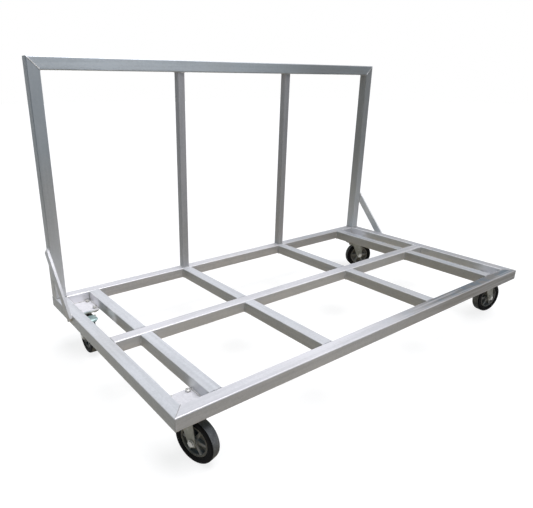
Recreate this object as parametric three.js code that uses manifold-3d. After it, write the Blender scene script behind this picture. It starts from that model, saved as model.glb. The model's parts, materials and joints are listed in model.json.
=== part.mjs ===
// Sheet goods cart: a welded square-tube deck on four swivel casters, with a back frame to lean sheets on.
// Millimetres, +X along the deck, +Y from the open front to the back frame, +Z up, floor at z = 0.

import * as THREE from 'three';
import { mergeVertices } from 'three/addons/utils/BufferGeometryUtils.js';
import Module from 'manifold-3d';

const wasm = await Module();
wasm.setup();

// Driving dimensions of the welded frame
const FRAME_LENGTH = 2050;
const FRAME_DEPTH = 1080;
const BACK_HEIGHT = 1005;
const TUBE_SIDE = 50;
const TUBE_WALL = 2.5;
const TUBE_RADIUS = 5;
const UPRIGHT_SIDE = 35;
const UPRIGHT_WALL = 2;
const UPRIGHT_RADIUS = 3;
const UPRIGHT_BAYS = 3;
const WELD_GAP = 0.3;

// Flat-bar braces, lapped on the outer faces of a post and an end rail
const BRACE_WIDTH = 40;
const BRACE_THICKNESS = 12;
const BRACE_RISE = 223;
const BRACE_REACH = 215;

// Corner plates that carry the casters, and the bolts through them
const CORNER_PLATE_THICKNESS = 6;
const CORNER_PLATE_EDGE = 14;
const SLOT_EDGE = 17;
const BOLT_PITCH_X = 71;
const BOLT_PITCH_Y = 84;
const BOLT_DIAMETER = 10;
const BOLT_HEX = 17;
const BOLT_HEAD_HEIGHT = 6.4;
const BOLT_NUT_HEIGHT = 8;
const BOLT_END = 2;
const BOLT_HOLE_CLEARANCE = 0.5;

// Caster top plate and swivel head
const TOP_PLATE_THICKNESS = 5;
const TOP_PLATE_EDGE = 15;
const TOP_PLATE_RADIUS = 10;
const SWIVEL_HEAD_HEIGHT = 16.7;
const RACE_CLEARANCE = 8;
const RACE_ROUNDING = 5;
const KINGPIN_DIAMETER = 12;
const KINGPIN_HEX = 19;
const KINGPIN_HEAD_HEIGHT = 8;
const KINGPIN_NUT_HEIGHT = 7;
const KINGPIN_END = 2;
const BOSS_WALL = 7;
const BOSS_FLOOR = 5;

// Fork
const FORK_THICKNESS = 4;
const FORK_BEND_RADIUS = 9;
const FORK_SIDE_CLEARANCE = 5;
const CROWN_FRONT = 34;
const CROWN_REAR = 50;
const CROWN_SHOULDER = 12;
const LEG_SETBACK = 33;
const LEG_DROP = 16;
const AXLE_END_RADIUS = 17;
const TRAIL = 46;
const WHEEL_CLEARANCE = 9;

// Wheel, axle bolt and nut
const WHEEL_DIAMETER = 160;
const TYRE_WIDTH = 40;
const TYRE_THICKNESS = 24;
const TYRE_SHOULDER = 7;
const TREAD_EDGE = 3;
const RIM_WIDTH = 34;
const RIM_THICKNESS = 8;
const WEB_THICKNESS = 5;
const HUB_BOSS_DIAMETER = 34;
const SPOKE_COUNT = 6;
const SPOKE_THICKNESS = 6;
const SPOKE_SETBACK = 3;
const AXLE_DIAMETER = 12;
const AXLE_HEX = 19;
const AXLE_HEAD_HEIGHT = 7.5;
const AXLE_NUT_HEIGHT = 10;
const AXLE_END = 4;

// Foot brake of the back left caster
const PEDAL_OFFSET = 10;
const PEDAL_DROP = 1;
const PEDAL_LENGTH = 62;
const PEDAL_WIDTH = 50;
const PEDAL_THICKNESS = 3;
const PEDAL_SLOPE = THREE.MathUtils.degToRad(8);
const PEDAL_LIP = 9;
const PEDAL_CORNER = 14;
const BARREL_WALL = 3;
const BRAKE_PIN_DIAMETER = 7;
const BRAKE_PIN_HEAD = 12;
const BRAKE_PIN_HEAD_HEIGHT = 3;
const EAR_RADIUS = 7;
const SHOE_GAP = 5;
const SHOE_WIDTH = 30;
const SHOE_START = THREE.MathUtils.degToRad(56);
const SHOE_SWEEP = THREE.MathUtils.degToRad(13);

// Fits
const SEAT_GAP = 0.3;
const RUNNING_GAP = 0.5;

// Directions in which the four casters trail, measured from +X towards +Y
const CASTERS = [
  { name: 'front_left', side: -1, end: -1, trailAngle: -74, braked: false },
  { name: 'front_right', side: 1, end: -1, trailAngle: -10, braked: false },
  { name: 'back_left', side: -1, end: 1, trailAngle: -92, braked: true },
  { name: 'back_right', side: 1, end: 1, trailAngle: -29, braked: false },
];

// Facet counts
const BEND_STEPS = 1;
const ROUND_STEPS = 4;
const BOLT_SIDES = 8;
const SHAFT_SIDES = 12;
const RING_SIDES = 20;
const WHEEL_SIDES = 28;
const HEX_SIDES = 6;
const VERTEX_SPACING = 1e-4;

// Low and high ends, and left and right or front and rear sides
const BOTH_ENDS = [-1, 1];
const TOP_END = [1];

// Heights worked out from the floor up
const wheelRadius = WHEEL_DIAMETER / 2;
const crownUnderside = WHEEL_DIAMETER + WHEEL_CLEARANCE;
const crownTop = crownUnderside + FORK_THICKNESS;
const topPlateUnderside = crownTop + SWIVEL_HEAD_HEIGHT;
const topPlateTop = topPlateUnderside + TOP_PLATE_THICKNESS;
const deckUnderside = topPlateTop + SEAT_GAP;
const deckMiddle = deckUnderside + TUBE_SIDE / 2;
const deckTop = deckUnderside + TUBE_SIDE;
const backTop = deckTop + BACK_HEIGHT;
const cornerPlateTop = deckUnderside + CORNER_PLATE_THICKNESS;

// Places in plan
const slotWidth = BOLT_PITCH_X + 2 * SLOT_EDGE;
const cornerPlateDepth = BOLT_PITCH_Y + 2 * CORNER_PLATE_EDGE;
const endRailX = (FRAME_LENGTH - TUBE_SIDE) / 2;
const sideRailY = (FRAME_DEPTH - TUBE_SIDE) / 2;
const innerCrossX = endRailX - TUBE_SIDE - slotWidth;
const middleCrossX = endRailX / UPRIGHT_BAYS;
const swivelX = FRAME_LENGTH / 2 - TUBE_SIDE - slotWidth / 2;
const swivelY = FRAME_DEPTH / 2 - TUBE_SIDE - cornerPlateDepth / 2;

// Widths of the caster's nested parts
const forkInner = TYRE_WIDTH / 2 + FORK_SIDE_CLEARANCE;
const forkOuter = forkInner + FORK_THICKNESS;
const rimRadius = wheelRadius - TYRE_THICKNESS;
const kingpinHeadRadius = hexRadius(KINGPIN_HEX);
const bossRadius = kingpinHeadRadius + SEAT_GAP + BOSS_WALL;
const boltCircle = Math.hypot(BOLT_PITCH_X, BOLT_PITCH_Y) / 2;
const raceRadius = boltCircle - hexRadius(BOLT_HEX) - RACE_CLEARANCE;
const pivotX = CROWN_REAR + PEDAL_OFFSET;
const pivotZ = crownTop - PEDAL_DROP;
const barrelRadius = BRAKE_PIN_DIAMETER / 2 + SEAT_GAP + BARREL_WALL;

// Finishes
const galvanised = finish(0xb9bcc4, 0.42, 0.85);
const zincPlate = finish(0x8f9084, 0.45, 0.8);
const brightSteel = finish(0xa9aaa6, 0.38, 0.9);
const blueZinc = finish(0x6f8f8e, 0.4, 0.75);
const hubGrey = finish(0x5c5c60, 0.6, 0.1);
const rubber = finish(0x1b1b1c, 0.82, 0);

function finish(color, roughness, metalness) {
  return new THREE.MeshStandardMaterial({ color, roughness, metalness });
}

function hexRadius(acrossFlats) {
  return acrossFlats / Math.sqrt(3);
}

// Solid operations
function solid(geometry) {
  const bare = geometry.clone();
  bare.deleteAttribute('normal');
  bare.deleteAttribute('uv');
  const merged = mergeVertices(bare, VERTEX_SPACING);
  const mesh = new wasm.Mesh({
    numProp: 3,
    vertProperties: new Float32Array(merged.attributes.position.array),
    triVerts: new Uint32Array(merged.index.array),
  });
  return new wasm.Manifold(mesh);
}

function geometryOf(manifold) {
  const mesh = manifold.getMesh();
  const geometry = new THREE.BufferGeometry();
  geometry.setAttribute('position', new THREE.BufferAttribute(mesh.vertProperties, 3));
  geometry.setIndex(new THREE.BufferAttribute(mesh.triVerts, 1));
  geometry.computeVertexNormals();
  return geometry;
}

function join(first, ...others) {
  return geometryOf(others.reduce((sum, next) => sum.add(solid(next)), solid(first)));
}

function cut(body, ...tools) {
  return geometryOf(tools.reduce((rest, tool) => rest.subtract(solid(tool)), solid(body)));
}

function common(first, second) {
  return geometryOf(solid(first).intersect(solid(second)));
}

// Outlines
function roundedRect(Outline, width, height, radius) {
  const outline = new Outline();
  const x = width / 2 - radius;
  const y = height / 2 - radius;
  outline.absarc(x, y, radius, 0, Math.PI / 2);
  outline.absarc(-x, y, radius, Math.PI / 2, Math.PI);
  outline.absarc(-x, -y, radius, Math.PI, 1.5 * Math.PI);
  outline.absarc(x, -y, radius, 1.5 * Math.PI, 2 * Math.PI);
  outline.closePath();
  return outline;
}

function hexOutline(acrossFlats) {
  const radius = hexRadius(acrossFlats);
  const corners = Array.from({ length: HEX_SIDES }, (_, i) => {
    const angle = (i * 2 * Math.PI) / HEX_SIDES;
    return new THREE.Vector2(radius * Math.cos(angle), radius * Math.sin(angle));
  });
  return new THREE.Shape(corners);
}

// Extrusions, centred on their own length
function extrude(shape, depth, steps = BEND_STEPS) {
  const geometry = new THREE.ExtrudeGeometry(shape, { depth, bevelEnabled: false, curveSegments: steps });
  return geometry.translate(0, 0, -depth / 2);
}

function alongX(geometry) {
  return geometry.rotateX(Math.PI / 2).rotateZ(Math.PI / 2);
}

function alongY(geometry) {
  return geometry.rotateX(Math.PI / 2);
}

// A standing cylinder or hexagon between two heights
function standing(radius, bottom, top, sides) {
  const cylinder = new THREE.CylinderGeometry(radius, radius, top - bottom, sides);
  return cylinder.rotateX(Math.PI / 2).translate(0, 0, (bottom + top) / 2);
}

function standingHex(acrossFlats, bottom, top) {
  return extrude(hexOutline(acrossFlats), top - bottom).translate(0, 0, (bottom + top) / 2);
}

// A square tube along Z, open at both ends
function tube(side, wall, radius, length) {
  const shape = roundedRect(THREE.Shape, side, side, radius);
  const bore = side - 2 * wall;
  shape.holes.push(roundedRect(THREE.Path, bore, bore, radius / 2));
  return extrude(shape, length);
}

function frameTube(length) {
  return tube(TUBE_SIDE, TUBE_WALL, TUBE_RADIUS, length);
}

// Cuts the ends of a tube at 45 degrees: an end moves outwards with the distance along the other axis
function mitre(geometry, along, across, slope, ends) {
  const position = geometry.attributes.position;
  const point = new THREE.Vector3();
  for (let i = 0; i < position.count; i += 1) {
    point.fromBufferAttribute(position, i);
    const end = Math.sign(point[along]);
    if (ends.includes(end)) {
      point[along] += end * slope * point[across];
      position.setXYZ(i, point.x, point.y, point.z);
    }
  }
  return geometry;
}

const cart = new THREE.Group();

function add(parent, name, geometry, material) {
  const mesh = new THREE.Mesh(geometry, material);
  mesh.name = name;
  parent.add(mesh);
  return mesh;
}

function sideName(side) {
  return side < 0 ? 'left' : 'right';
}

// Deck: an outer ring of four mitred rails
function buildDeckRing() {
  const railLength = FRAME_LENGTH - TUBE_SIDE - 2 * WELD_GAP;
  for (const end of BOTH_ENDS) {
    const rail = mitre(alongX(frameTube(railLength)), 'x', 'y', end, BOTH_ENDS);
    const name = end < 0 ? 'front_rail' : 'back_rail';
    add(cart, name, rail.translate(0, end * sideRailY, deckMiddle), galvanised);
  }
  const endLength = FRAME_DEPTH - TUBE_SIDE - 2 * WELD_GAP;
  for (const side of BOTH_ENDS) {
    const rail = mitre(alongY(frameTube(endLength)), 'y', 'x', side, BOTH_ENDS);
    add(cart, `${sideName(side)}_end_rail`, rail.translate(side * endRailX, 0, deckMiddle), galvanised);
  }
}

// Deck: one centre rail from end to end, and cross-members that meet it from the front and from the rear
function buildDeckCrosses() {
  const centreLength = FRAME_LENGTH - 2 * TUBE_SIDE - 2 * WELD_GAP;
  add(cart, 'centre_rail', alongX(frameTube(centreLength)).translate(0, 0, deckMiddle), galvanised);
  const crossStart = TUBE_SIDE / 2 + WELD_GAP;
  const crossEnd = FRAME_DEPTH / 2 - TUBE_SIDE - WELD_GAP;
  const crossMiddle = (crossStart + crossEnd) / 2;
  for (const side of BOTH_ENDS) {
    for (const [place, crossX] of [['inner', innerCrossX], ['middle', middleCrossX]]) {
      for (const end of BOTH_ENDS) {
        const name = `${sideName(side)}_${place}_cross_${end < 0 ? 'front' : 'rear'}`;
        const cross = alongY(frameTube(crossEnd - crossStart));
        add(cart, name, cross.translate(side * crossX, end * crossMiddle, deckMiddle), galvanised);
      }
    }
  }
}

// Back frame: two posts on the rear corners, a mitred top rail and two slimmer uprights between
function buildBackFrame() {
  const postBottom = deckTop + WELD_GAP;
  const postTop = backTop - TUBE_SIDE / 2 - WELD_GAP;
  for (const side of BOTH_ENDS) {
    const post = mitre(frameTube(postTop - postBottom), 'z', 'x', side, TOP_END);
    const name = `${sideName(side)}_post`;
    add(cart, name, post.translate(side * endRailX, sideRailY, (postTop + postBottom) / 2), galvanised);
  }
  const topLength = FRAME_LENGTH - TUBE_SIDE - 2 * WELD_GAP;
  const topRail = mitre(alongX(frameTube(topLength)), 'x', 'z', 1, BOTH_ENDS);
  add(cart, 'top_rail', topRail.translate(0, sideRailY, backTop - TUBE_SIDE / 2), galvanised);

  const uprightTop = backTop - TUBE_SIDE - WELD_GAP;
  for (const side of BOTH_ENDS) {
    const upright = tube(UPRIGHT_SIDE, UPRIGHT_WALL, UPRIGHT_RADIUS, uprightTop - postBottom);
    const middle = (uprightTop + postBottom) / 2;
    const name = `${sideName(side)}_upright`;
    add(cart, name, upright.translate(side * middleCrossX, sideRailY, middle), galvanised);
  }
}

// Flat-bar braces: square-cut bars from the post's centre line down to the end rail's
function buildBraces() {
  const high = new THREE.Vector2(sideRailY, deckTop + BRACE_RISE);
  const low = new THREE.Vector2(sideRailY - BRACE_REACH, deckMiddle);
  const middle = high.clone().add(low).divideScalar(2);
  const slope = Math.atan2(high.y - low.y, high.x - low.x);
  for (const side of BOTH_ENDS) {
    const bar = new THREE.BoxGeometry(BRACE_THICKNESS, high.distanceTo(low), BRACE_WIDTH).rotateX(slope);
    const braceX = side * (FRAME_LENGTH / 2 + WELD_GAP + BRACE_THICKNESS / 2);
    add(cart, `${sideName(side)}_brace`, bar.translate(braceX, middle.x, middle.y), galvanised);
  }
}

function forEachBolt(visit) {
  for (const x of BOTH_ENDS) {
    for (const y of BOTH_ENDS) {
      visit((x * BOLT_PITCH_X) / 2, (y * BOLT_PITCH_Y) / 2);
    }
  }
}

// Corner plate: flush with the underside of the tubes, welded in the slot, with four bolt holes
function cornerPlate() {
  const width = slotWidth - 2 * WELD_GAP;
  const depth = cornerPlateDepth - 2 * WELD_GAP;
  const corners = [[-1, -1], [1, -1], [1, 1], [-1, 1]];
  const shape = new THREE.Shape(corners.map(([x, y]) => new THREE.Vector2((x * width) / 2, (y * depth) / 2)));
  forEachBolt((x, y) => {
    const hole = new THREE.Path();
    hole.absarc(x, y, BOLT_DIAMETER / 2 + BOLT_HOLE_CLEARANCE, 0, 2 * Math.PI, true);
    shape.holes.push(hole);
  });
  const plate = extrude(shape, CORNER_PLATE_THICKNESS, BOLT_SIDES / 2);
  return plate.translate(0, 0, deckUnderside + CORNER_PLATE_THICKNESS / 2);
}

// Top plate: a rounded plate drawn down into a boss round the kingpin, with its four bolts and nuts
function topPlate() {
  const width = BOLT_PITCH_X + 2 * TOP_PLATE_EDGE;
  const depth = BOLT_PITCH_Y + 2 * TOP_PLATE_EDGE;
  const sheet = extrude(roundedRect(THREE.Shape, width, depth, TOP_PLATE_RADIUS), TOP_PLATE_THICKNESS);
  sheet.translate(0, 0, topPlateTop - TOP_PLATE_THICKNESS / 2);
  const bossBottom = crownTop + RUNNING_GAP;
  const bossFloor = bossBottom + BOSS_FLOOR;
  const pieces = [standing(bossRadius, bossBottom, topPlateTop, RING_SIDES)];
  const headBottom = topPlateUnderside - BOLT_HEAD_HEIGHT;
  const nutBottom = cornerPlateTop + SEAT_GAP;
  const nutTop = nutBottom + BOLT_NUT_HEIGHT;
  forEachBolt((x, y) => {
    const head = standingHex(BOLT_HEX, headBottom, topPlateTop - TOP_PLATE_THICKNESS / 2);
    const shank = standing(BOLT_DIAMETER / 2, topPlateUnderside, nutTop + BOLT_END, BOLT_SIDES);
    const nut = standingHex(BOLT_HEX, nutBottom, nutTop);
    pieces.push(head.translate(x, y, 0), shank.translate(x, y, 0), nut.translate(x, y, 0));
  });
  const recess = standing(kingpinHeadRadius + SEAT_GAP, bossFloor, topPlateTop + BOSS_FLOOR, RING_SIDES);
  const bore = standing(KINGPIN_DIAMETER / 2 + SEAT_GAP, bossBottom - BOSS_FLOOR, topPlateTop, SHAFT_SIDES);
  return cut(join(sheet, ...pieces), recess, bore);
}

// Kingpin: a bolt through the boss and the fork's crown, with its nut screwed up under the crown
function kingpin() {
  const headBottom = crownTop + RUNNING_GAP + BOSS_FLOOR + SEAT_GAP;
  const nutTop = crownUnderside - SEAT_GAP;
  const nutBottom = nutTop - KINGPIN_NUT_HEIGHT;
  const head = standingHex(KINGPIN_HEX, headBottom, headBottom + KINGPIN_HEAD_HEIGHT);
  const shank = standing(KINGPIN_DIAMETER / 2, nutBottom - KINGPIN_END, headBottom + SEAT_GAP, SHAFT_SIDES);
  const nut = standingHex(KINGPIN_HEX, nutBottom, nutTop);
  return join(shank, head, nut);
}

// Swivel race: the rolled ring of the ball bearing, on the crown and round the boss
function swivelRace() {
  const inner = bossRadius + RUNNING_GAP;
  const bottom = crownTop + SEAT_GAP;
  const top = topPlateUnderside - RUNNING_GAP;
  const rounding = Math.min(RACE_ROUNDING, (raceRadius - inner) / 2);
  const profile = [
    new THREE.Vector2(inner, bottom),
    new THREE.Vector2(raceRadius - rounding, bottom),
    new THREE.Vector2(raceRadius, bottom + rounding),
    new THREE.Vector2(raceRadius, top - rounding),
    new THREE.Vector2(raceRadius - rounding, top),
    new THREE.Vector2(inner, top),
    new THREE.Vector2(inner, bottom),
  ];
  return new THREE.LatheGeometry(profile, RING_SIDES).rotateX(Math.PI / 2);
}

// Point where a line from outside touches a circle, as an angle seen from the circle's centre
function tangentAngle(point, centre, radius, turn) {
  const offset = point.clone().sub(centre);
  return offset.angle() + turn * Math.acos(radius / offset.length());
}

// Fork's side outline: wide at the crown, cut back to a leg that tapers to a round end about the axle
function forkOutline() {
  const axle = new THREE.Vector2(TRAIL, wheelRadius);
  const shoulder = crownTop - CROWN_SHOULDER;
  const leading = new THREE.Vector2(LEG_SETBACK - CROWN_FRONT, shoulder - LEG_DROP);
  const trailing = new THREE.Vector2(CROWN_REAR, shoulder);
  const startAngle = tangentAngle(leading, axle, AXLE_END_RADIUS, 1);
  const endAngle = tangentAngle(trailing, axle, AXLE_END_RADIUS, -1);
  const outline = new THREE.Shape();
  outline.moveTo(trailing.x, crownTop);
  outline.lineTo(-CROWN_FRONT, crownTop);
  outline.lineTo(-CROWN_FRONT, shoulder);
  outline.lineTo(leading.x, leading.y);
  outline.absarc(axle.x, axle.y, AXLE_END_RADIUS, startAngle, endAngle);
  outline.lineTo(trailing.x, trailing.y);
  outline.closePath();
  return outline;
}

// Fork's cross-section: an upside-down U of bent sheet
function forkSection(bottom) {
  const inside = FORK_BEND_RADIUS - FORK_THICKNESS;
  const bendZ = crownTop - FORK_BEND_RADIUS;
  const bendY = forkOuter - FORK_BEND_RADIUS;
  const section = new THREE.Shape();
  section.moveTo(forkOuter, bottom);
  section.absarc(bendY, bendZ, FORK_BEND_RADIUS, 0, Math.PI / 2);
  section.absarc(-bendY, bendZ, FORK_BEND_RADIUS, Math.PI / 2, Math.PI);
  section.lineTo(-forkOuter, bottom);
  section.lineTo(-forkInner, bottom);
  section.absarc(-bendY, bendZ, inside, Math.PI, Math.PI / 2, true);
  section.absarc(bendY, bendZ, inside, Math.PI / 2, 0, true);
  section.lineTo(forkInner, bottom);
  section.closePath();
  return section;
}

// Ears of a braked fork: flat cheeks that reach back from the crown to the brake pin
function brakeEars() {
  const pivot = new THREE.Vector2(pivotX, pivotZ);
  const root = CROWN_REAR - CROWN_SHOULDER;
  const low = new THREE.Vector2(root, crownUnderside - CROWN_SHOULDER);
  const high = new THREE.Vector2(root, crownTop - FORK_BEND_RADIUS);
  const outline = new THREE.Shape();
  outline.moveTo(high.x, high.y);
  outline.lineTo(low.x, low.y);
  outline.absarc(pivot.x, pivot.y, EAR_RADIUS, tangentAngle(low, pivot, EAR_RADIUS, 1), Math.PI / 2);
  outline.closePath();
  const cheekY = (forkInner + forkOuter) / 2;
  return BOTH_ENDS.map((side) => alongY(extrude(outline, FORK_THICKNESS)).translate(0, side * cheekY, 0));
}

// A clearance hole through both legs
function crossHole(diameter, x, z) {
  return crossShaft(diameter + 2 * SEAT_GAP, -2 * forkOuter, 2 * forkOuter).translate(x, 0, z);
}

function fork(braked) {
  const bottom = wheelRadius - 2 * AXLE_END_RADIUS;
  const sheetLength = 2 * (CROWN_FRONT + CROWN_REAR + TRAIL + AXLE_END_RADIUS);
  const bentSheet = alongX(extrude(forkSection(bottom), sheetLength));
  const blankWidth = 2 * (forkOuter + FORK_THICKNESS);
  const sideShape = alongY(extrude(forkOutline(), blankWidth, ROUND_STEPS));
  const blank = common(bentSheet, sideShape);
  const kingpinRadius = KINGPIN_DIAMETER / 2 + SEAT_GAP;
  const kingpinHole = standing(kingpinRadius, bottom, crownTop + FORK_THICKNESS, SHAFT_SIDES);
  const holes = [kingpinHole, crossHole(AXLE_DIAMETER, TRAIL, wheelRadius)];
  if (!braked) {
    return cut(blank, ...holes);
  }
  return cut(join(blank, ...brakeEars()), ...holes, crossHole(BRAKE_PIN_DIAMETER, pivotX, pivotZ));
}

// A hexagon across the fork, with its faces square to Y
function crossHex(acrossFlats, nearY, farY) {
  const hex = alongY(extrude(hexOutline(acrossFlats), farY - nearY));
  return hex.translate(0, (nearY + farY) / 2, 0);
}

function crossShaft(diameter, nearY, farY) {
  const shaft = new THREE.CylinderGeometry(diameter / 2, diameter / 2, farY - nearY, SHAFT_SIDES);
  return shaft.translate(0, (nearY + farY) / 2, 0);
}

function axleBolt() {
  const seat = forkOuter + SEAT_GAP;
  const head = crossHex(AXLE_HEX, -seat - AXLE_HEAD_HEIGHT, -seat);
  const shaft = crossShaft(AXLE_DIAMETER, -seat - SEAT_GAP, seat + AXLE_NUT_HEIGHT + AXLE_END);
  return join(shaft, head);
}

function axleNut() {
  const seat = forkOuter + SEAT_GAP;
  const bore = crossShaft(AXLE_DIAMETER + 2 * SEAT_GAP, 0, seat + 2 * AXLE_NUT_HEIGHT);
  return cut(crossHex(AXLE_HEX, seat, seat + AXLE_NUT_HEIGHT), bore);
}

// A closed profile turned about the axle, with a flat facet at the bottom
function turned(profile) {
  const points = profile.map(([radius, y]) => new THREE.Vector2(radius, y));
  points.push(points[0].clone());
  return new THREE.LatheGeometry(points, WHEEL_SIDES, Math.PI / WHEEL_SIDES);
}

// Hub: a boss between the fork's legs, a thin web, a rim, and spokes across the web on both faces
function hub() {
  const bore = AXLE_DIAMETER / 2 + SEAT_GAP;
  const boss = HUB_BOSS_DIAMETER / 2;
  const bossHalf = forkInner - SEAT_GAP;
  const rimInner = rimRadius - RIM_THICKNESS;
  const rimHalf = RIM_WIDTH / 2;
  const webHalf = WEB_THICKNESS / 2;
  const disc = turned([
    [bore, -bossHalf],
    [boss, -bossHalf],
    [boss, -webHalf],
    [rimInner, -webHalf],
    [rimInner, -rimHalf],
    [rimRadius, -rimHalf],
    [rimRadius, rimHalf],
    [rimInner, rimHalf],
    [rimInner, webHalf],
    [boss, webHalf],
    [boss, bossHalf],
    [bore, bossHalf],
  ]);
  const spokeStart = boss - SPOKE_SETBACK;
  const spokeEnd = rimInner + SPOKE_SETBACK;
  const spokes = Array.from({ length: SPOKE_COUNT }, (_, i) => {
    const width = RIM_WIDTH - 2 * SPOKE_SETBACK;
    const spoke = new THREE.BoxGeometry(SPOKE_THICKNESS, width, spokeEnd - spokeStart);
    spoke.translate(0, 0, (spokeStart + spokeEnd) / 2);
    return spoke.rotateY((i * 2 * Math.PI) / SPOKE_COUNT);
  });
  return join(disc, ...spokes);
}

// Tyre: seated on the rim, with bulged walls and a rounded tread whose flats lie on the wheel's diameter
function tyre() {
  const seat = rimRadius + SEAT_GAP;
  const half = TYRE_WIDTH / 2;
  const rimHalf = RIM_WIDTH / 2;
  const tread = wheelRadius / Math.cos(Math.PI / WHEEL_SIDES);
  const wall = wheelRadius - TYRE_SHOULDER;
  const bulge = (seat + wall) / 2;
  return turned([
    [seat, -rimHalf],
    [bulge, -half],
    [wall, -half],
    [tread - TREAD_EDGE / 2, -half + TREAD_EDGE],
    [tread, -half + TYRE_SHOULDER],
    [tread, half - TYRE_SHOULDER],
    [tread - TREAD_EDGE / 2, half - TREAD_EDGE],
    [wall, half],
    [bulge, half],
    [seat, rimHalf],
  ]);
}

// Pedal: a barrel on the pin and a bent plate with round corners and a turned-down lip, about the pivot
function brakePedal() {
  const barrel = crossShaft(2 * barrelRadius, -forkInner + RUNNING_GAP, forkInner - RUNNING_GAP);
  const plan = roundedRect(THREE.Shape, 2 * PEDAL_LENGTH, PEDAL_WIDTH, PEDAL_CORNER);
  const foot = extrude(plan, PEDAL_LENGTH, ROUND_STEPS / 2);
  const side = new THREE.Shape();
  side.moveTo(0, 0);
  side.lineTo(PEDAL_LENGTH - PEDAL_LIP, 0);
  side.lineTo(PEDAL_LENGTH - PEDAL_THICKNESS, -PEDAL_LIP);
  side.lineTo(PEDAL_LENGTH, -PEDAL_LIP);
  side.lineTo(PEDAL_LENGTH - PEDAL_THICKNESS, PEDAL_THICKNESS);
  side.lineTo(0, PEDAL_THICKNESS);
  side.closePath();
  const plate = common(alongY(extrude(side, PEDAL_WIDTH)), foot);
  plate.translate(0, 0, barrelRadius - PEDAL_THICKNESS);
  const cheek = EAR_RADIUS + RUNNING_GAP;
  const notch = new THREE.BoxGeometry(2 * cheek, FORK_THICKNESS + 2 * RUNNING_GAP, PEDAL_WIDTH);
  const notches = BOTH_ENDS.map((end) => notch.clone().translate(0, (end * (forkInner + forkOuter)) / 2, 0));
  const pinHole = crossShaft(BRAKE_PIN_DIAMETER + 2 * SEAT_GAP, -PEDAL_WIDTH, PEDAL_WIDTH);
  const body = join(barrel, cut(plate, ...notches));
  return cut(body, pinHole).rotateY(-PEDAL_SLOPE);
}

// Brake shoe: a rubber-faced block under the pedal, curved to the tread
function brakeShoe() {
  const centre = new THREE.Vector2(TRAIL, wheelRadius);
  const radius = wheelRadius + SHOE_GAP;
  const underside = (x) => {
    const seat = (barrelRadius - PEDAL_THICKNESS - SEAT_GAP) / Math.cos(PEDAL_SLOPE);
    return pivotZ + seat + (x - pivotX) * Math.tan(PEDAL_SLOPE);
  };
  const near = centre.x + radius * Math.cos(SHOE_START + SHOE_SWEEP);
  const far = centre.x + radius * Math.cos(SHOE_START);
  const outline = new THREE.Shape();
  outline.moveTo(near, underside(near));
  outline.absarc(centre.x, centre.y, radius, SHOE_START + SHOE_SWEEP, SHOE_START, true);
  outline.lineTo(far, underside(far));
  outline.closePath();
  return alongY(extrude(outline, SHOE_WIDTH));
}

function brakePin() {
  const seat = forkOuter + SEAT_GAP;
  const shaft = crossShaft(BRAKE_PIN_DIAMETER, -seat - SEAT_GAP, seat + SEAT_GAP);
  const heads = BOTH_ENDS.map((end) => {
    const head = crossShaft(BRAKE_PIN_HEAD, 0, BRAKE_PIN_HEAD_HEIGHT);
    return head.translate(0, end < 0 ? -seat - BRAKE_PIN_HEAD_HEIGHT : seat, 0);
  });
  return join(shaft, ...heads);
}

// One caster: what is bolted to the frame, what swivels, and what rolls
function buildCaster({ name, side, end, trailAngle, braked }) {
  const corner = new THREE.Group();
  corner.position.set(side * swivelX, end * swivelY, 0);
  cart.add(corner);
  add(corner, `${name}_corner_plate`, cornerPlate(), galvanised);
  add(corner, `${name}_top_plate`, topPlate(), zincPlate);
  add(corner, `${name}_kingpin`, kingpin(), brightSteel);

  const swivel = new THREE.Group();
  swivel.rotation.z = THREE.MathUtils.degToRad(trailAngle);
  corner.add(swivel);
  add(swivel, `${name}_swivel_race`, swivelRace(), brightSteel);
  add(swivel, `${name}_fork`, fork(braked), zincPlate);

  const wheel = new THREE.Group();
  wheel.position.set(TRAIL, 0, wheelRadius);
  swivel.add(wheel);
  add(wheel, `${name}_axle_bolt`, axleBolt(), brightSteel);
  add(wheel, `${name}_axle_nut`, axleNut(), brightSteel);
  add(wheel, `${name}_hub`, hub(), hubGrey);
  add(wheel, `${name}_tyre`, tyre(), rubber);

  if (braked) {
    const brake = new THREE.Group();
    brake.position.set(pivotX, 0, pivotZ);
    swivel.add(brake);
    add(brake, `${name}_brake_pedal`, brakePedal(), blueZinc);
    add(brake, `${name}_brake_pin`, brakePin(), brightSteel);
    add(swivel, `${name}_brake_shoe`, brakeShoe(), rubber);
  }
}

buildDeckRing();
buildDeckCrosses();
buildBackFrame();
buildBraces();
CASTERS.forEach(buildCaster);

export default cart;
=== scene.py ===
import json
import math

import bmesh
import bpy
from mathutils import Matrix, Vector


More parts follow.
